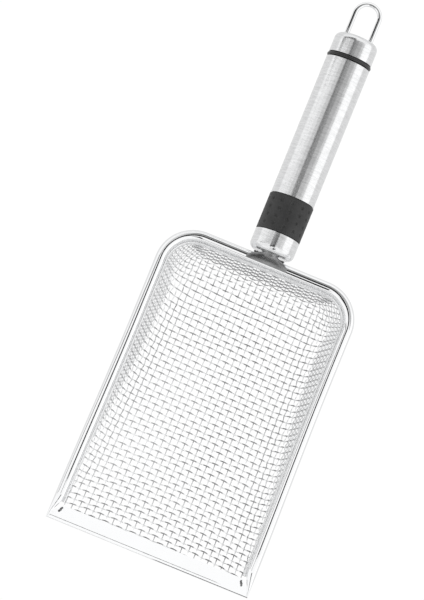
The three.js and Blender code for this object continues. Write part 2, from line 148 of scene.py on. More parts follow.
def outward(points, faces):
    """The same faces, turned so that the closed surface faces out."""
    p = np.asarray(points)
    volume = 0.0
    for f in faces:
        for i in range(1, len(f) - 1):
            volume += np.dot(p[f[0]], np.cross(p[f[i]], p[f[i + 1]]))
    return faces if volume > 0 else [tuple(reversed(f)) for f in faces]


def loft(rings):
    """Joins rings of points and closes both ends."""
    count, size = len(rings), len(rings[0])
    points = np.concatenate(rings)
    faces = grid_faces(count, size)
    faces.append(tuple(reversed(range(size))))
    faces.append(tuple((count - 1) * size + i for i in range(size)))
    return points, outward(points, faces)


def arc(cx, cy, radius, start, end, steps):
    angles = np.radians(np.linspace(start, end, steps + 1))
    return [(cx + radius * math.cos(a), cy + radius * math.sin(a)) for a in angles]


def turned(profile, sides=128, ripple=None):
    """A closed profile of (radius, y) turned about the handle's axis."""
    rings = []
    for i in range(sides):
        angle = 2 * math.pi * i / sides
        ring = []
        for radius, y in profile:
            r = radius + (ripple(angle, radius, y) if ripple else 0.0)
            ring.append((r * math.sin(angle), y, HANDLE_Z + r * math.cos(angle)))
        rings.append(ring)
    points = np.array(rings).reshape(-1, 3)
    faces = grid_faces(sides, len(profile), wrap_rows=True)
    return points, outward(points, faces)


def subdivided(profile, step):
    """The closed profile with points added along any stretch longer than step."""
    result = []
    for a, b in zip(profile, profile[1:] + profile[:1]):
        count = max(1, math.ceil(math.dist(a, b) / step))
        result += [tuple(np.add(a, np.subtract(b, a) * i / count)) for i in range(count)]
    return result


# ---- The rim -------------------------------------------------------------------------------
def rim_path(inset, front_end, corner_steps=28, side_steps=90):
    """Points and outward directions along the rim, from the left tip to the right one."""
    right = []
    for angle in np.linspace(90, 0, corner_steps + 1):
        n = np.array([math.cos(math.radians(angle)), math.sin(math.radians(angle))])
        r = CORNER_RADIUS - inset(-CORNER_RADIUS)
        centre = np.array([HEAD_HALF_WIDTH - CORNER_RADIUS, -CORNER_RADIUS])
        right.append((centre + r * n, n))
    for t in np.linspace(0, 1, side_steps + 1)[1:]:
        y = -CORNER_RADIUS + t * (CORNER_RADIUS - front_end)
        right.append((np.array([HEAD_HALF_WIDTH + flare(y) - inset(y), y]), np.array([1.0, 0.0])))
    mirror = np.array([-1.0, 1.0])
    return [(p * mirror, n * mirror) for p, n in reversed(right)] + right


def swept_rim(path, section):
    rings = []
    for (x, y), n in path:
        rings.append([(x + n[0] * out, y + n[1] * out, up) for out, up in section(y)])
    return loft([np.array(r) for r in rings])


ROD_ROUNDING = 0.6  # length over which each tip is rounded off
ROD_LEAST = 0.08  # share of the radius left at the very tip


def rod_radius(y):
    """The tapered rod's radius, before its tips are rounded off."""
    taper = smooth((y + HEAD_LENGTH) / ROD_TAPER)
    return ROD_TIP_RADIUS + (ROD_RADIUS - ROD_TIP_RADIUS) * taper


def rod_rounding(y):
    """The share of the radius that the rounding leaves."""
    near_tip = max(0.0, 1 - (y + HEAD_LENGTH - ROD_SHORT) / ROD_ROUNDING)
    return max(ROD_LEAST, math.sqrt(max(0.0, 1 - near_tip**2)))


def rim_rod(material):
    angles = np.linspace(0, 2 * math.pi, 36, endpoint=False)

    def section(y):
        r = rod_radius(y) * rod_rounding(y)
        drop = ROD_TIP_DROP * smooth(1 - (y + HEAD_LENGTH) / ROD_TAPER)
        return [(r * math.cos(a), r * math.sin(a) - drop) for a in angles]

    path = rim_path(rod_radius, HEAD_LENGTH - ROD_SHORT, 36, 160)
    points, faces = swept_rim(path, section)
    return piece("rim_rod_round", points, faces, material, ["rim_rod"])


def rim_band(material):
    half, slot = BAND_WIDTH / 2, BAND_WIDTH / 2 - BAND_SHEET

    def section(y):
        low = max(-BAND_SKIRT, floor_z(y) + BAND_CLEAR)
        top = arc(0, BAND_TOP - half, half, 0, 180, 10)
        under = arc(0, BAND_TOP - half, slot, 180, 0, 10)
        return [(half, low), *top, (-half, low), (-slot, low), *under, (slot, low)]

    points, faces = swept_rim(rim_path(lambda y: BAND_INSET, BAND_END), section)
    return piece("rim_band_folded", points, faces, material, ["rim_band"])


# ---- The cloth's surface -------------------------------------------------------------------
def round_min(a, b, r):
    both = (a < r) & (b < r)
    return np.where(both, r - np.hypot(r - a, r - b), np.minimum(a, b))


def floor_z(y):
    d = np.maximum(0.0, y - LIP_REAR)
    c = FLOOR_RADIUS * math.sin(FLOOR_SLOPE)
    drop = np.sqrt(FLOOR_RADIUS**2 - (c - d) ** 2) - FLOOR_RADIUS * math.cos(FLOOR_SLOPE)
    return TAIL_Z - drop


def lean(z, draft):
    return np.maximum(0.0, -WALL_START - z) * draft + (MESH_EDGE_Z - z) * EDGE_LEAN


def inside(x, y, z):
    """Distance into the basket from its cloth: 0 on the cloth, positive inside."""
    slope = np.arctan(floor_z(y) - floor_z(y + 1))
    above_floor = (z - floor_z(y)) * np.cos(slope)
    from_rear = MESH_REAR - lean(z, REAR_DRAFT) - y
    trough = round_min(above_floor, from_rear, REAR_FILLET)
    from_side = MESH_HALF_WIDTH + flare(y) - lean(z, SIDE_DRAFT) - np.abs(x)
    near_rear = smooth(1 - (MESH_REAR - y) / REAR_FILLET)
    fillet = SIDE_FILLET + (MESH_CORNER - SIDE_FILLET) * near_rear
    below = np.clip(-floor_z(y) - WALL_START, LEAST_FILLET, fillet)
    return round_min(trough, from_side, below)


def mesh_z(x, y):
    low, high = np.full_like(x, -90.0), np.full_like(x, MESH_EDGE_Z)
    for _ in range(36):
        middle = (low + high) / 2
        within = inside(x, y, middle) > 0
        high, low = np.where(within, middle, high), np.where(within, low, middle)
    return high


def cloth_normal(p):
    e = 0.05
    x, y, z = p[:, 0], p[:, 1], p[:, 2]
    n = np.stack([
        inside(x + e, y, z) - inside(x - e, y, z),
        inside(x, y + e, z) - inside(x, y - e, z),
        inside(x, y, z + e) - inside(x, y, z - e),
    ], axis=1)
    return n / np.maximum(1e-9, np.linalg.norm(n, axis=1))[:, None]


def middle_line():
    """Arc length down the rear wall and along the floor at x = 0, against y."""
    near = np.arange(0.0, 4.0, 0.01)
    far = np.arange(4.0, MESH_REAR - TAIL_END, 0.25)
    y = MESH_REAR - np.concatenate([near, far]) - 1e-4
    z = mesh_z(np.zeros_like(y), y)
    steps = np.hypot(np.diff(y), np.diff(z))
    return np.concatenate([[0.0], np.cumsum(steps)]), y


TILT = math.tan(math.radians(3))  # the cloth is pressed slightly askew
ARCH = 4.0  # how far the weft bows towards the lip at the sides, near the front
ARCH_CENTRE = -14.0
ARCH_FROM = 105.0
FAN = 1.5  # how strongly the weft is dragged forward at the two rear corners
FAN_FROM = 37.0
FAN_UNTIL = 65.0
FAN_SOFT = 3.0
STRETCH = 0.07  # the cloth is a little more open towards the lip
WOBBLES = ((0.22, 0.11, 1.9), (0.14, 0.31, 0.7))  # size, rate across x, rate along the cloth
SEARCH_HALF = 64.0  # a weft wire is looked for this far out, which is past the basket
SEARCH_STEP = 0.2
FIRST_WEFT = 0.35  # pitches from the cloth's rear edge to its first weft wire
FRONT_MARGIN = 0.5  # no weft wire comes nearer to the cloth's front edge
LEAST_POINTS = 30  # a shorter weft wire is left out


def weft_arc(v0, x, total):
    """Where the weft wire that starts at v0 lies on the middle line's scale, across x."""
    front = smooth((v0 - ARCH_FROM) / (total - ARCH_FROM))
    tilt = TILT * x * (1 - front)
    arch = ARCH * ((x - ARCH_CENTRE) / HEAD_HALF_WIDTH) ** 2 * front
    out = np.abs(x) - FAN_FROM
    soft = np.log1p(np.exp(np.clip(out / FAN_SOFT, -30, 30))) * FAN_SOFT
    wobble = sum(size * np.sin(across * x + along * v0) for size, across, along in WOBBLES)
    return v0 + tilt + arch + FAN * max(0.0, 1 - v0 / FAN_UNTIL) * soft + wobble


def middle_run(held):
    """The unbroken stretch of held points around the middle one."""
    middle = len(held) // 2
    return slice(middle - np.argmin(held[:middle][::-1]), middle + np.argmin(held[middle:]))


def weft_line(v0, v, y_of):
    """The points of the weft wire that starts at v0; few or none where the cloth has ended."""
    x = np.arange(-SEARCH_HALF, SEARCH_HALF + 0.01, SEARCH_STEP)
    s = weft_arc(v0, x, v[-1])
    y = np.interp(s, v, y_of)
    on_cloth = inside(x, y, np.full_like(x, MESH_EDGE_Z)) > 0
    held = (s > 0) & (s < v[-1] - FRONT_MARGIN) & on_cloth
    keep = middle_run(held) if held[len(x) // 2] else held
    x, y = x[keep], y[keep]
    return np.stack([x, y, mesh_z(x, y)], axis=1)


def weft_lines():
    """Each weft wire's number, fine points, and their distance from the middle in pitches."""
    v, y_of = middle_line()
    total = v[-1]
    lines = []
    for j in range(int(total / PITCH) + 1):
        v0 = PITCH * (j + FIRST_WEFT)
        p = weft_line(v0, v, y_of)
        if len(p) < LEAST_POINTS:
            continue
        length = np.concatenate([[0.0], np.cumsum(np.linalg.norm(np.diff(p, axis=0), axis=1))])
        length -= np.interp(0.0, p[:, 0], length)
        pitch = PITCH * (1 + STRETCH * smooth((v0 - FAN_UNTIL) / (total - FAN_UNTIL)))
        lines.append((j, p, length / pitch))
    return lines


def on_line(p, u, at):
    return np.stack([np.interp(at, u, p[:, i]) for i in range(3)], axis=-1)


def weft_paths(lines):
    """Middle points, swing and ends of every weft wire."""
    wires = []
    for j, p, u in lines:
        inner = np.arange(math.ceil(u[0] * SAMPLES + 0.4), u[-1] * SAMPLES - 0.4) / SAMPLES
        at = np.concatenate([[u[0]], inner, [u[-1]]])
        wires.append((on_line(p, u, at), np.cos(math.pi * (at + j))))
    return wires


def smooth_through(p, samples):
    """Catmull-Rom points through p, and the fraction of a crossing at each."""
    q = np.concatenate([2 * p[:1] - p[1:2], p, 2 * p[-1:] - p[-2:-1]])
    points, at = [], []
    for i in range(len(p) - 1):
        a, b, c, d = q[i], q[i + 1], q[i + 2], q[i + 3]
        for t in np.arange(samples) / samples:
            points.append(0.5 * (2 * b + (c - a) * t + (2 * a - 5 * b + 4 * c - d) * t * t
                                 + (3 * b - 3 * c + d - a) * t**3))
            at.append(i + t)
    return np.array(points + [p[-1]]), np.array(at + [len(p) - 1.0])


def warp_paths(lines):
    """The wires that run from the rear to the lip, through the weft's crossings."""
    reach = int(max(max(abs(u[0]), abs(u[-1])) for _, _, u in lines)) + 1
    wires = []
    for k in range(-reach, reach + 1):
        points, rows = [], []
        previous = None
        for j, p, u in lines:
            edge = u[-1] if k > 0 else u[0]
            within = u[0] <= k <= u[-1]
            if previous is not None and within != previous[0]:
                gap = abs(edge - previous[1])
                t = float(np.clip(abs(k - previous[1]) / gap, 0.0, 1.0)) if gap > 1e-6 else 0.5
                here = p[-1] if k > 0 else p[0]
                points.append(previous[2] * (1 - t) + here * t)
                rows.append(previous[3] + t)
            if within:
                points.append(on_line(p, u, k))
                rows.append(float(j))
            previous = (within, edge, p[-1] if k > 0 else p[0], j)
        if len(points) < 4:
            continue
        near = [i for i in range(len(rows)) if i == 0 or rows[i] - rows[i - 1] > 0.25]
        points, rows = np.array(points)[near], np.array(rows)[near]
        curve, at = smooth_through(points, SAMPLES)
        swing = -np.cos(math.pi * (np.interp(at, np.arange(len(rows)), rows) + k))
        wires.append((curve, swing))
    return wires


def wire_mesh(wires):
    """Round wires along their middle points, swung off the cloth by the crimp."""
    points, faces, heights = [], [], []
    angles = np.linspace(0, 2 * math.pi, WIRE_SIDES, endpoint=False)
    start = 0
    for p, swing in wires:
        n = cloth_normal(p)
        centre = p + n * (swing * CRIMP)[:, None]
        along = np.gradient(centre, axis=0)
        along /= np.linalg.norm(along, axis=1)[:, None]
        n = n - along * np.sum(n * along, axis=1)[:, None]
        n /= np.linalg.norm(n, axis=1)[:, None]
        side = np.cross(along, n)
        ring = (centre[:, None, :]
                + WIRE * np.cos(angles)[None, :, None] * n[:, None, :]
                + WIRE * np.sin(angles)[None, :, None] * side[:, None, :])
        points.append(ring.reshape(-1, 3))
        heights.append(np.repeat(swing, WIRE_SIDES))
        faces += grid_faces(len(p), WIRE_SIDES, start=start)
        last = start + (len(p) - 1) * WIRE_SIDES
        faces.append(tuple(start + i for i in reversed(range(WIRE_SIDES))))
        faces.append(tuple(last + i for i in range(WIRE_SIDES)))
        start += len(p) * WIRE_SIDES
    return np.concatenate(points), faces, np.concatenate(heights)


def basket(weft_material, warp_material):
    """The woven cloth. Each point's crown attribute is 1 on top of the weave, -1 below it."""
    lines = weft_lines()
    for name, wires, material in (("mesh_weft", weft_paths(lines), weft_material),
                                  ("mesh_warp", warp_paths(lines), warp_material)):
        points, faces, heights = wire_mesh(wires)
        obj = piece(name, points, faces, material, ["mesh_basket"])
        crown = obj.data.attributes.new("crown", "FLOAT", "POINT")
        crown.data.foreach_set("value", heights)


# ---- The lip -------------------------------------------------------------------------------
LIP_SLOT = 0.4  # half the height of the slot that holds the cloth's front edge
LIP_GROOVE = ((2.1, 0.0), (1.7, 0.035), (1.3, 0.0))  # distance behind the hem, depth


def lip_section():
    """The folded strip's outline, (y, z), from its rear top edge round the front hem."""
    front = -HEAD_LENGTH + LIP_SHEET
    hem = arc(front, LIP_TOP - LIP_SHEET, LIP_SHEET, 90, 270, 10)
    groove = [(front + behind, LIP_TOP - depth) for behind, depth in LIP_GROOVE]
    low = TAIL_Z - LIP_SLOT - LIP_SHEET
    inner = TAIL_END - 0.3
    return [
        (LIP_REAR, LIP_TOP), *groove, *hem, (-BLADE_REAR - 1.2, LIP_TOP - 2 * LIP_SHEET),
        (inner - 0.8, low), (LIP_REAR, low), (LIP_REAR, TAIL_Z - LIP_SLOT),
        (inner, TAIL_Z - LIP_SLOT), (inner, TAIL_Z + LIP_SLOT), (LIP_REAR, TAIL_Z + LIP_SLOT),
    ]


def lip_half(y):
    """How far the strip reaches sideways: under the rod's tips at the front, clear behind."""
    rear = MESH_HALF_WIDTH + flare(LIP_REAR) - 0.7
    front = HEAD_HALF_WIDTH + MOUTH_FLARE
    return rear + (front - rear) * smooth((-y - (BLADE_REAR - 2.6)) / 2.6)


def front_lip(material):
    section = lip_section()
    rings = []
    for t in np.linspace(-1, 1, 61):
        rings.append(np.array([(t * float(lip_half(y)), y, z) for y, z in section]))
    points, faces = loft(rings)
    return piece("front_lip_folded", points, faces, material, ["front_lip"])


# ---- Welds and bracket ---------------------------------------------------------------------
def weld(name, start, end, radius, seed, material, nodes):
    """An uneven bead between two points."""
    rng = np.random.default_rng(seed)
    a, b = np.array(start, float), np.array(end, float)
    along = (b - a) / np.linalg.norm(b - a)
    side = np.cross(along, [0, 0, 1.0])
    side /= np.linalg.norm(side)
    up = np.cross(side, along)
    steps, sides = 24, 14
    phases = 3 * rng.uniform(-1, 1, 3)
    rings = []
    for i in range(steps + 1):
        t = i / steps
        swell = math.sqrt(max(0.02, 1 - (2 * t - 1) ** 4))
        wave = 1 + 0.16 * math.sin(17 * t + phases[0]) + 0.1 * math.sin(31 * t + phases[1])
        centre = a + (b - a) * t + side * 0.14 * radius * math.sin(9 * t + phases[2])
        rings.append(np.array([
            centre + radius * swell * wave * (
                side * 1.15 * math.cos(q) + up * 0.85 * math.sin(q))
            for q in np.linspace(0, 2 * math.pi, sides, endpoint=False)]))
    points, faces = loft(rings)
    return piece(name, points, faces, material, nodes)


def tip_weld(side, word, material):
    """The bead where the band ends on the lip."""
    outer, z = HEAD_HALF_WIDTH + MOUTH_FLARE, LIP_TOP + 0.85
    start = (side * (outer - 7.2), LIP_REAR - 1.2, z)
    end = (side * (outer - 5.6), -BLADE_REAR + 0.6, z)
    return weld(f"tip_seam_{word}", start, end, 0.55, 7 + side, material,
                [f"tip_weld_{word}"])


def bracket_weld(side, word, material):
    """The bead beside the saddle's neck."""
    start, end = (side * 5.8, 0.3, 2.45), (side * 9.5, 0.3, 2.45)
    return weld(f"bracket_seam_{word}", start, end, 0.5, 17 + side, material,
                [f"bracket_weld_{word}"])


# The bracket from the handle to the mouth: y, half width, half height and middle height.
BRACKET_STATIONS = [
    (12.0, 4.5, 4.5, 2.0), (6.0, 4.5, 4.5, 2.0), (2.6, 4.55, 4.5, 2.0),
    (1.3, 5.0, 4.0, 2.0), (0.6, 6.4, 2.4, 3.2), (-0.6, 9.0, 0.95, 4.1),
    (-2.2, 11.3, 0.75, 4.15), (-3.7, 12.4, 0.7, 3.9), (-4.9, 12.6, 0.6, 3.55),
]
BRACKET_FULLNESS = 0.8  # below 1 the section is fuller than an ellipse
FLARE_SHADE_START = 2.6  # distance from the middle at which the painted dark reflection on the flares begins
FLARE_SHADE_RISE = 1.8


def bracket(material):
    """The shank from the handle, spread into a saddle that lies over the rim rod."""
    angles = np.linspace(0, 2 * math.pi, 48, endpoint=False)
    rings = []
    for y, wide, high, z in BRACKET_STATIONS:
        across = [math.copysign(abs(math.cos(a)) ** BRACKET_FULLNESS, math.cos(a)) for a in angles]
        rings.append(np.array([(wide * c, y, z + high * math.sin(a))
                               for c, a in zip(across, angles)]))
    points, faces = loft(rings)
    obj = piece("bracket_saddle", points, faces, material, ["handle_bracket"])
    # The attribute marks where the painted dark reflection lies: 0 on the neck, rising to 1 out on
    # both flares.
    heat = obj.data.attributes.new("heat", "FLOAT", "POINT")
    heat.data.foreach_set("value", smooth((np.abs(points[:, 0]) - FLARE_SHADE_START) / FLARE_SHADE_RISE))
    return obj


# ---- The handle ----------------------------------------------------------------------------
def ferrule(material):
    radius, wall, rounding, hole, start, end = 13.4, 0.8, 3.5, 4.85, 1.6, 13.3
    cx, cy = radius - rounding, start + rounding
    profile = [(hole, start), *arc(cx, cy, rounding, -90, 0, 16), (radius, end - 0.15),
               (radius - 0.15, end), (radius - wall, end),
               *arc(cx, cy, rounding - wall, 0, -90, 10), (hole, start + wall)]
    points, faces = turned(subdivided(profile, 0.8))
    return piece("ferrule_round", points, faces, material, ["ferrule"])


DIMPLE_COLUMNS = 13
DIMPLE_ROWS = (-7.2, -2.4, 2.4, 7.2)
DIMPLE_FIRST = math.radians(5)
DIMPLE_RADIUS = 1.15
DIMPLE_DEPTH = 0.55
SEAM_ANGLE = 0.0  # the mould leaves a fine raised line along the top
SEAM_HEIGHT = 0.12
SEAM_HALF = 0.5


def grip_band(material):
    start, end, radius, bore, ease = 13.6, 35.4, 13.4, 10.6, 0.15
    middle = (start + end) / 2

    def ripple(angle, r, y):
        if r < radius - 0.01:
            return 0.0
        pitch = 2 * math.pi / DIMPLE_COLUMNS
        off = (angle - DIMPLE_FIRST + pitch / 2) % pitch - pitch / 2
        near = min(abs(y - middle - rowy) for rowy in DIMPLE_ROWS)
        d = math.hypot(off * radius, near)
        turn = (angle - SEAM_ANGLE + math.pi) % (2 * math.pi) - math.pi
        seam = SEAM_HEIGHT * float(smooth(1 - abs(turn) * radius / SEAM_HALF))
        return seam - DIMPLE_DEPTH * float(smooth((DIMPLE_RADIUS - d) / 0.6))

    profile = subdivided([(bore, start), (radius - ease, start), (radius, start + ease),
                          (radius, end - ease), (radius - ease, end), (bore, end)], 0.36)
    points, faces = turned(profile, 234, ripple)
    return piece("grip_band_dimpled", points, faces, material, ["grip_band"])


def handle_tube(material):
    start, end, radius, wall, ease = 35.7, 122.2, 13.15, 0.8, 0.2
    profile = [(radius - wall, start), (radius - ease, start), (radius, start + ease),
               (radius, end - ease), (radius - ease, end), (radius - wall, end)]
    points, faces = turned(subdivided(profile, 2.0))
    return piece("handle_tube_satin", points, faces, material,
                 ["handle_tube"])


def spacer_ring(material):
    start, end, radius, bore = 122.5, 124.8, 13.4, 10.8
    half = (end - start) / 2
    profile = [(bore, start), *arc(radius - half, start + half, half, -90, 90, 14),
               (bore, end)]
    points, faces = turned(profile)
    return piece("spacer_ring_round", points, faces, material, ["spacer_ring"])


def end_cap(material):
    start, end, radius, wall, rounding = 125.1, 137.9, 13.0, 0.8, 4.0
    cx, cy = radius - rounding, end - rounding
    profile = [(radius - wall, start), (radius, start), *arc(cx, cy, rounding, 0, 90, 18),
               (0.02, end), (0.02, end - wall), *arc(cx, cy, rounding - wall, 90, 0, 10)]
    points, faces = turned(subdivided(profile, 0.8))
    return piece("end_cap_round", points, faces, material, ["end_cap"])


def hanging_loop(material):
    wire, half, end, foot, sides = 1.45, 7.25, 160.6, 134.6, 24
    bend = end - wire - half
    centres = [(-half, y) for y in np.linspace(foot, bend, 24)[:-1]]
    centres += arc(0, bend, half, 180, 0, 32)
    centres += [(half, y) for y in np.linspace(bend, foot, 24)[1:]]
    p = np.array([(x, y, HANDLE_Z) for x, y in centres])
    along = np.gradient(p, axis=0)
    along /= np.linalg.norm(along, axis=1)[:, None]
    out = np.stack([-along[:, 1], along[:, 0], np.zeros(len(p))], axis=1)
    angles = np.linspace(0, 2 * math.pi, sides, endpoint=False)
    rings = [c + wire * (np.cos(angles)[:, None] * o + np.sin(angles)[:, None] * [0, 0, 1])
             for c, o in zip(p, out)]
    points, faces = loft(rings)
    return piece("hanging_loop_wire", points, faces, material, ["hanging_loop"])


# ---- Materials -----------------------------------------------------------------------------
NOISE_LOW, NOISE_HIGH = 0.3, 0.7  # nearly all of a noise lies between these
RELIEF = 0.0002  # metres, the depth that a bump strength of 1 stands for
PATCH_SCALE = 16.0


def new_material(name):
    material = bpy.data.materials.new(name)
    material.use_nodes = True
    return material, material.node_tree.nodes, material.node_tree.links


def noise(nodes, links, scale, detail=4.0, stretch=(1, 1, 1)):
    """3D noise in the piece's own metres, stretched along the axes given less than 1."""
    place = nodes.new("ShaderNodeTexCoord")
    mapping = nodes.new("ShaderNodeMapping")
    mapping.inputs["Scale"].default_value = stretch
    texture = nodes.new("ShaderNodeTexNoise")
    texture.inputs["Scale"].default_value = scale
    texture.inputs["Detail"].default_value = detail
    links.new(place.outputs["Object"], mapping.inputs["Vector"])
    links.new(mapping.outputs["Vector"], texture.inputs["Vector"])
    return texture.outputs["Fac"]


def ranged(nodes, links, value, low, high):
    mapped = nodes.new("ShaderNodeMapRange")
    mapped.inputs["From Min"].default_value = NOISE_LOW
    mapped.inputs["From Max"].default_value = NOISE_HIGH
    mapped.inputs["To Min"].default_value = low
    mapped.inputs["To Max"].default_value = high
    links.new(value, mapped.inputs["Value"])
    return mapped.outputs["Result"]


def tinted(nodes, links, value, dark, light):
    ramp = nodes.new("ShaderNodeValToRGB")
    ramp.color_ramp.elements[0].position = NOISE_LOW
    ramp.color_ramp.elements[1].position = NOISE_HIGH
    ramp.color_ramp.elements[0].color = (*dark, 1)
    ramp.color_ramp.elements[1].color = (*light, 1)
    links.new(value, ramp.inputs["Fac"])
    return ramp.outputs["Color"]


def surface(name, dark, light, rough, metallic, scale, grain, stretch=(1, 1, 1), bump=0.05,
            anisotropic=0.0, tone_stretch=(1, 1, 1)):
    """A finish with tone, roughness and fine relief from two noises."""
    material, nodes, links = new_material(name)
    shader = nodes["Principled BSDF"]
    shader.inputs["Metallic"].default_value = metallic
    shader.inputs["Anisotropic"].default_value = anisotropic
    broad = noise(nodes, links, scale, 4.0, tone_stretch)
    fine = noise(nodes, links, grain, 6.0, stretch)
    links.new(tinted(nodes, links, broad, dark, light), shader.inputs["Base Color"])
    links.new(ranged(nodes, links, fine, *rough), shader.inputs["Roughness"])
    relief = nodes.new("ShaderNodeBump")
    relief.inputs["Strength"].default_value = bump
    relief.inputs["Distance"].default_value = RELIEF
    links.new(fine, relief.inputs["Height"])
    links.new(relief.outputs["Normal"], shader.inputs["Normal"])
    if anisotropic:
        tangent = nodes.new("ShaderNodeTangent")
        tangent.direction_type = "RADIAL"
        tangent.axis = "Y"
        shader.inputs["Anisotropic Rotation"].default_value = 0.25
        links.new(tangent.outputs["Tangent"], shader.inputs["Tangent"])
    return material


def grey(v):
    return (v, v * 1.005, v * 1.012)


def polished_steel():
    return surface("polished_steel", grey(0.93), grey(0.97), (0.03, 0.07), 1, 60, 900,
                   bump=0.02)


def lip_steel():
    return surface("lip_steel", grey(0.97), grey(0.99), (0.03, 0.06), 1, 80, 1400,
                   stretch=(0.15, 1, 1), bump=0.02)


def band_steel():
    return surface("band_steel", grey(0.86), grey(0.94), (0.30, 0.42), 1, 90, 1600,
                   bump=0.04)


def darkened(material, attribute, rise, tone, patches):
    """The finish turns to tone where the attribute rises, more in some places than others: a
    painted dark reflection.
    """
    nodes, links = material.node_tree.nodes, material.node_tree.links
    shader = nodes["Principled BSDF"]
    bright = shader.inputs["Base Color"].links[0].from_socket
    value = nodes.new("ShaderNodeAttribute")
    value.attribute_name = attribute
    amount = nodes.new("ShaderNodeMapRange")
    amount.interpolation_type = "SMOOTHSTEP"
    amount.inputs["From Min"].default_value = rise[0]
    amount.inputs["From Max"].default_value = rise[1]
    links.new(value.outputs["Fac"], amount.inputs["Value"])
    patch = ranged(nodes, links, noise(nodes, links, PATCH_SCALE, 1.0), *patches)
    share = nodes.new("ShaderNodeMath")
    share.operation = "MULTIPLY"
    links.new(amount.outputs["Result"], share.inputs[0])
    links.new(patch, share.inputs[1])
    mix = nodes.new("ShaderNodeMix")
    mix.data_type = "RGBA"
    mix.inputs["B"].default_value = (*grey(tone), 1)
    links.new(share.outputs[0], mix.inputs["Factor"])
    links.new(bright, mix.inputs["A"])
    links.new(mix.outputs["Result"], shader.inputs["Base Color"])
    return material


def mesh_wire(name, tones, crown, patches):
    """Bright wire, with a painted dark reflection on the crowns of the weave."""
    bright = surface(name, grey(tones[0]), grey(tones[1]), (0.16, 0.26), 1, 150, 2500)
    return darkened(bright, "crown", (-0.25, 0.45), crown, patches)


def weld_metal():
    return surface("weld_metal", grey(0.10), grey(0.26), (0.3, 0.5), 1, 700, 2600,
                   bump=0.4)


def bracket_steel(name="bracket_steel"):
    return surface(name, grey(0.24), grey(0.36), (0.22, 0.32), 1, 260, 1800, bump=0.06)


def bracket_painted_shade():
    """Grey steel with a painted dark reflection out along both flares."""
    return darkened(bracket_steel("bracket_painted_shade"), "heat", (0.0, 1.0), 0.02, (1.0, 1.0))


def satin_steel(name, rough):
    """Brushed around the handle: fine lines that circle its axis spread light along it."""
    return surface(name, grey(0.77), grey(0.92), rough, 1, 900, 2600, stretch=(0.05, 1, 0.05),
                   bump=0.10, anisotropic=0.8, tone_stretch=(0.18, 1, 0.18))


def black_rubber():
    return surface("black_rubber", grey(0.024), grey(0.040), (0.46, 0.62), 0, 120, 5200,
                   bump=0.25)


def ring_rubber():
    return surface("ring_rubber", grey(0.016), grey(0.028), (0.3, 0.42), 0, 200, 3800,
                   bump=0.1)


def nylon():
    return surface("nylon", grey(0.50), grey(0.58), (0.42, 0.56), 0, 90, 2600, bump=0.1)


# ---- Stage: floor, light tent and camera ---------------------------------------------------
SEEN_WHITE = 1.02  # just past white, for what the camera sees of the floor and the tent


def glow(name, seen, lit):
    """An even glow: one strength where the camera sees it, another where it lights."""
    material, nodes, links = new_material(name)
    nodes.clear()
    path = nodes.new("ShaderNodeLightPath")
    emission = nodes.new("ShaderNodeEmission")
    strength = nodes.new("ShaderNodeMapRange")
    output = nodes.new("ShaderNodeOutputMaterial")
    strength.inputs["To Min"].default_value = lit
    strength.inputs["To Max"].default_value = seen
    links.new(path.outputs["Is Camera Ray"], strength.inputs["Value"])
    links.new(strength.outputs["Result"], emission.inputs["Strength"])
    links.new(emission.outputs["Emission"], output.inputs["Surface"])
    return material


def panel(name, corners, material, camera_sees=False):
    mesh = bpy.data.meshes.new(name)
    mesh.from_pydata([tuple(c) for c in corners], [], [(0, 1, 2, 3)])
    mesh.materials.append(material)
    obj = bpy.data.objects.new(name, mesh)
    bpy.context.scene.collection.objects.link(obj)
    obj.visible_camera = camera_sees
    return obj


# Cards over the scoop, hidden from the camera: x range, y range and tone. They are what the
# polish reflects. The lip looks up between the first two, so it stays white.
CARD_HEIGHT = 337.0
CARDS = {
    "over_the_basket": ((-105, 45), (-112, 57), 0.03),
    "beyond_the_lip": ((5, 110), (-900, -240), 0.03),
    "beyond_the_left_tip": ((-110, 5), (-900, -600), 0.25),
    "along_the_left_rail": ((-105, -66), (-200, -112), 0.03),
    "handle_far_left": ((-420, -230), (57, 330), 0.86),
    "handle_left": ((-230, -95), (57, 330), 0.64),
    "ferrule_line": ((-95, -30), (57, 85), 0.75),
    "handle_line": ((-95, -30), (85, 330), 0.20),
    "handle_middle": ((-30, 60), (57, 330), 0.32),
    "handle_right": ((60, 210), (57, 330), 0.44),
    "handle_far_right": ((210, 330), (57, 330), 0.64),
}

# Lower cards, each with its height: one for the dark line on the loop's wire, one for the bar.
LOW_CARDS = {
    "over_the_loop": ((-210, -9), (153, 190), 0.03, 60.0),
    "over_the_right_bar": ((14, 60), (57, 84), 0.05, 330.0),
}

# A level grey card whose ends slant away to the left, for the left rail's outer edge.
SLANTED_CARD = ((-105, 57), (-780, 57), (-3200, -130), (-1000, -130))
SLANTED_TONE = 0.30


def card(name, x, y, tone, z):
    (x0, x1), (y0, y1) = x, y
    corners = row([(x0, y0, z), (x1, y0, z), (x1, y1, z), (x0, y1, z)])
    panel(name, corners, glow(name, 0.0, tone))


def cards():
    for name, (x, y, tone) in CARDS.items():
        card(name, x, y, tone, CARD_HEIGHT)
    for name, (x, y, tone, z) in LOW_CARDS.items():
        card(name, x, y, tone, z)
    corners = row([(x, y, CARD_HEIGHT) for x, y in SLANTED_CARD])
    panel("slanted_card", corners, glow("slanted_card", 0.0, SLANTED_TONE))


FLOOR_SIZE = 3.0
FLOOR_Z = -0.0008  # metres, just under the lowest wires
FLOOR_LIT = 0.80  # how brightly it lights the scoop


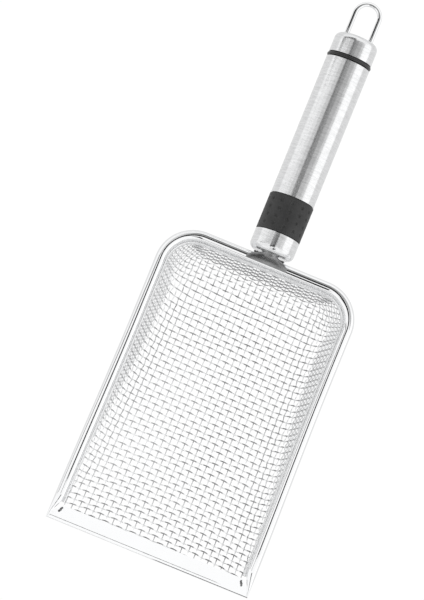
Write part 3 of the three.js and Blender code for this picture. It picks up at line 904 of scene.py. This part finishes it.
def floor():
    """A pale floor that is clear from below, so that the underside can be looked at."""
    material = glow("pale_floor", SEEN_WHITE, FLOOR_LIT)
    nodes, links = material.node_tree.nodes, material.node_tree.links
    output = nodes["Material Output"]
    lit = output.inputs["Surface"].links[0].from_socket
    face = nodes.new("ShaderNodeNewGeometry")
    clear = nodes.new("ShaderNodeBsdfTransparent")
    mix = nodes.new("ShaderNodeMixShader")
    links.new(face.outputs["Backfacing"], mix.inputs["Fac"])
    links.new(lit, mix.inputs[1])
    links.new(clear.outputs["BSDF"], mix.inputs[2])
    links.new(mix.outputs["Shader"], output.inputs["Surface"])
    sides = ((-1, -1), (1, -1), (1, 1), (-1, 1))
    corners = [(x * FLOOR_SIZE, y * FLOOR_SIZE, FLOOR_Z) for x, y in sides]
    return panel("pale_floor", corners, material, True)


def band_mask(nodes, links, value, low, high, edge):
    """1 where value lies between low and high, with soft edges."""
    rise = nodes.new("ShaderNodeMapRange")
    fall = nodes.new("ShaderNodeMapRange")
    both = nodes.new("ShaderNodeMath")
    both.operation = "MULTIPLY"
    for node, a, b in ((rise, low - edge, low + edge), (fall, high + edge, high - edge)):
        node.interpolation_type = "SMOOTHSTEP"
        node.inputs["From Min"].default_value = a
        node.inputs["From Max"].default_value = b
        links.new(value, node.inputs["Value"])
    links.new(rise.outputs["Result"], both.inputs[0])
    links.new(fall.outputs["Result"], both.inputs[1])
    return both.outputs[0]


TENT_WHITE = 1.0
# The brighter wall on the right: its directions' x and y ranges, its soft edge and its tone.
TENT_SIDE = ((0.74, 2.0), (-0.6, 0.6), 0.05, 1.15)


def tent():
    """A white tent with a brighter wall on the right."""
    world = bpy.data.worlds.new("tent")
    bpy.context.scene.world = world
    world.use_nodes = True
    nodes, links = world.node_tree.nodes, world.node_tree.links
    nodes.clear()
    place = nodes.new("ShaderNodeTexCoord")
    axes = nodes.new("ShaderNodeSeparateXYZ")
    links.new(place.outputs["Generated"], axes.inputs["Vector"])
    (x0, x1), (y0, y1), edge, bright = TENT_SIDE
    across = band_mask(nodes, links, axes.outputs["X"], x0, x1, edge)
    along = band_mask(nodes, links, axes.outputs["Y"], y0, y1, edge)
    mask = nodes.new("ShaderNodeMath")
    mask.operation = "MULTIPLY"
    links.new(across, mask.inputs[0])
    links.new(along, mask.inputs[1])
    wall = nodes.new("ShaderNodeMapRange")
    wall.inputs["To Min"].default_value = TENT_WHITE
    wall.inputs["To Max"].default_value = bright
    links.new(mask.outputs[0], wall.inputs["Value"])
    path = nodes.new("ShaderNodeLightPath")
    seen = nodes.new("ShaderNodeMix")
    seen.data_type = "FLOAT"
    seen.inputs["B"].default_value = SEEN_WHITE
    links.new(path.outputs["Is Camera Ray"], seen.inputs["Factor"])
    links.new(wall.outputs["Result"], seen.inputs["A"])
    background = nodes.new("ShaderNodeBackground")
    background.inputs["Color"].default_value = (1, 1, 1, 1)
    links.new(seen.outputs["Result"], background.inputs["Strength"])
    output = nodes.new("ShaderNodeOutputWorld")
    links.new(background.outputs["Background"], output.inputs["Surface"])


CAMERA_AIM = (-21.0, -35.3, 0.0)
CAMERA_DISTANCE = 10.0
CAMERA_TILT = math.radians(9.5)  # off plumb, towards the lip
CAMERA_ROLL = math.radians(22.23)
CAMERA_VIEW = 0.3449  # height of the view at the aim, in metres
CAMERA_REACH = 40.0
SENSOR = 24.0


def camera():
    data = bpy.data.cameras.new("camera")
    data.sensor_fit = "VERTICAL"
    data.sensor_height = SENSOR
    data.lens = SENSOR * CAMERA_DISTANCE / CAMERA_VIEW
    data.clip_end = CAMERA_REACH
    back = Vector((0, -math.sin(CAMERA_TILT), math.cos(CAMERA_TILT)))
    along = Vector((0, math.cos(CAMERA_TILT), math.sin(CAMERA_TILT)))
    across = Vector((1, 0, 0))
    right = math.sin(CAMERA_ROLL) * along + math.cos(CAMERA_ROLL) * across
    up = math.cos(CAMERA_ROLL) * along - math.sin(CAMERA_ROLL) * across
    turn = Matrix((right, up, back)).transposed().to_4x4()
    aim = Vector(row([CAMERA_AIM])[0])
    obj = bpy.data.objects.new("camera", data)
    obj.matrix_world = Matrix.Translation(aim + back * CAMERA_DISTANCE) @ turn
    bpy.context.scene.collection.objects.link(obj)
    bpy.context.scene.camera = obj


def stage():
    scene = bpy.context.scene
    scene.view_settings.view_transform = "Standard"
    scene.view_settings.look = "None"
    floor()
    tent()
    cards()
    camera()


# ---- Assembly ------------------------------------------------------------------------------
def finish_cad_nodes(materials):
    """The inner pieces keep their CAD shapes and get their slot's finish."""
    for name, material in materials.items():
        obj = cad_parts[name]
        obj.data.materials.clear()
        obj.data.materials.append(material)


def build():
    # The finishes are made in this order, and each is shared by the pieces that have it.
    polish, lip, seam = polished_steel(), lip_steel(), weld_metal()
    dull, white_nylon = bracket_steel(), nylon()
    rim_rod(polish)
    rim_band(band_steel())
    # The third number given to each wire is the tone of the painted dark reflection on its crowns.
    basket(mesh_wire("weft_wire", (0.96, 0.99), 0.26, (0.55, 1.0)),
           mesh_wire("warp_wire", (0.97, 0.99), 0.72, (0.3, 1.0)))
    front_lip(lip)
    for side, word in ((-1, "left"), (1, "right")):
        tip_weld(side, word, seam)
        bracket_weld(side, word, seam)
    bracket(bracket_painted_shade())
    satin = satin_steel("satin_steel", (0.17, 0.24))
    ferrule(satin_steel("ferrule_steel", (0.15, 0.21)))
    grip_band(black_rubber())
    handle_tube(satin)
    spacer_ring(ring_rubber())
    end_cap(satin)
    hanging_loop(polish)
    finish_cad_nodes({
        "front_plug": white_nylon, "core_sleeve": white_nylon, "rear_plug": white_nylon,
        "tang_rod": dull, "tang_washer": dull, "tang_nut": dull, "loop_retainer": dull,
    })


build()
stage()
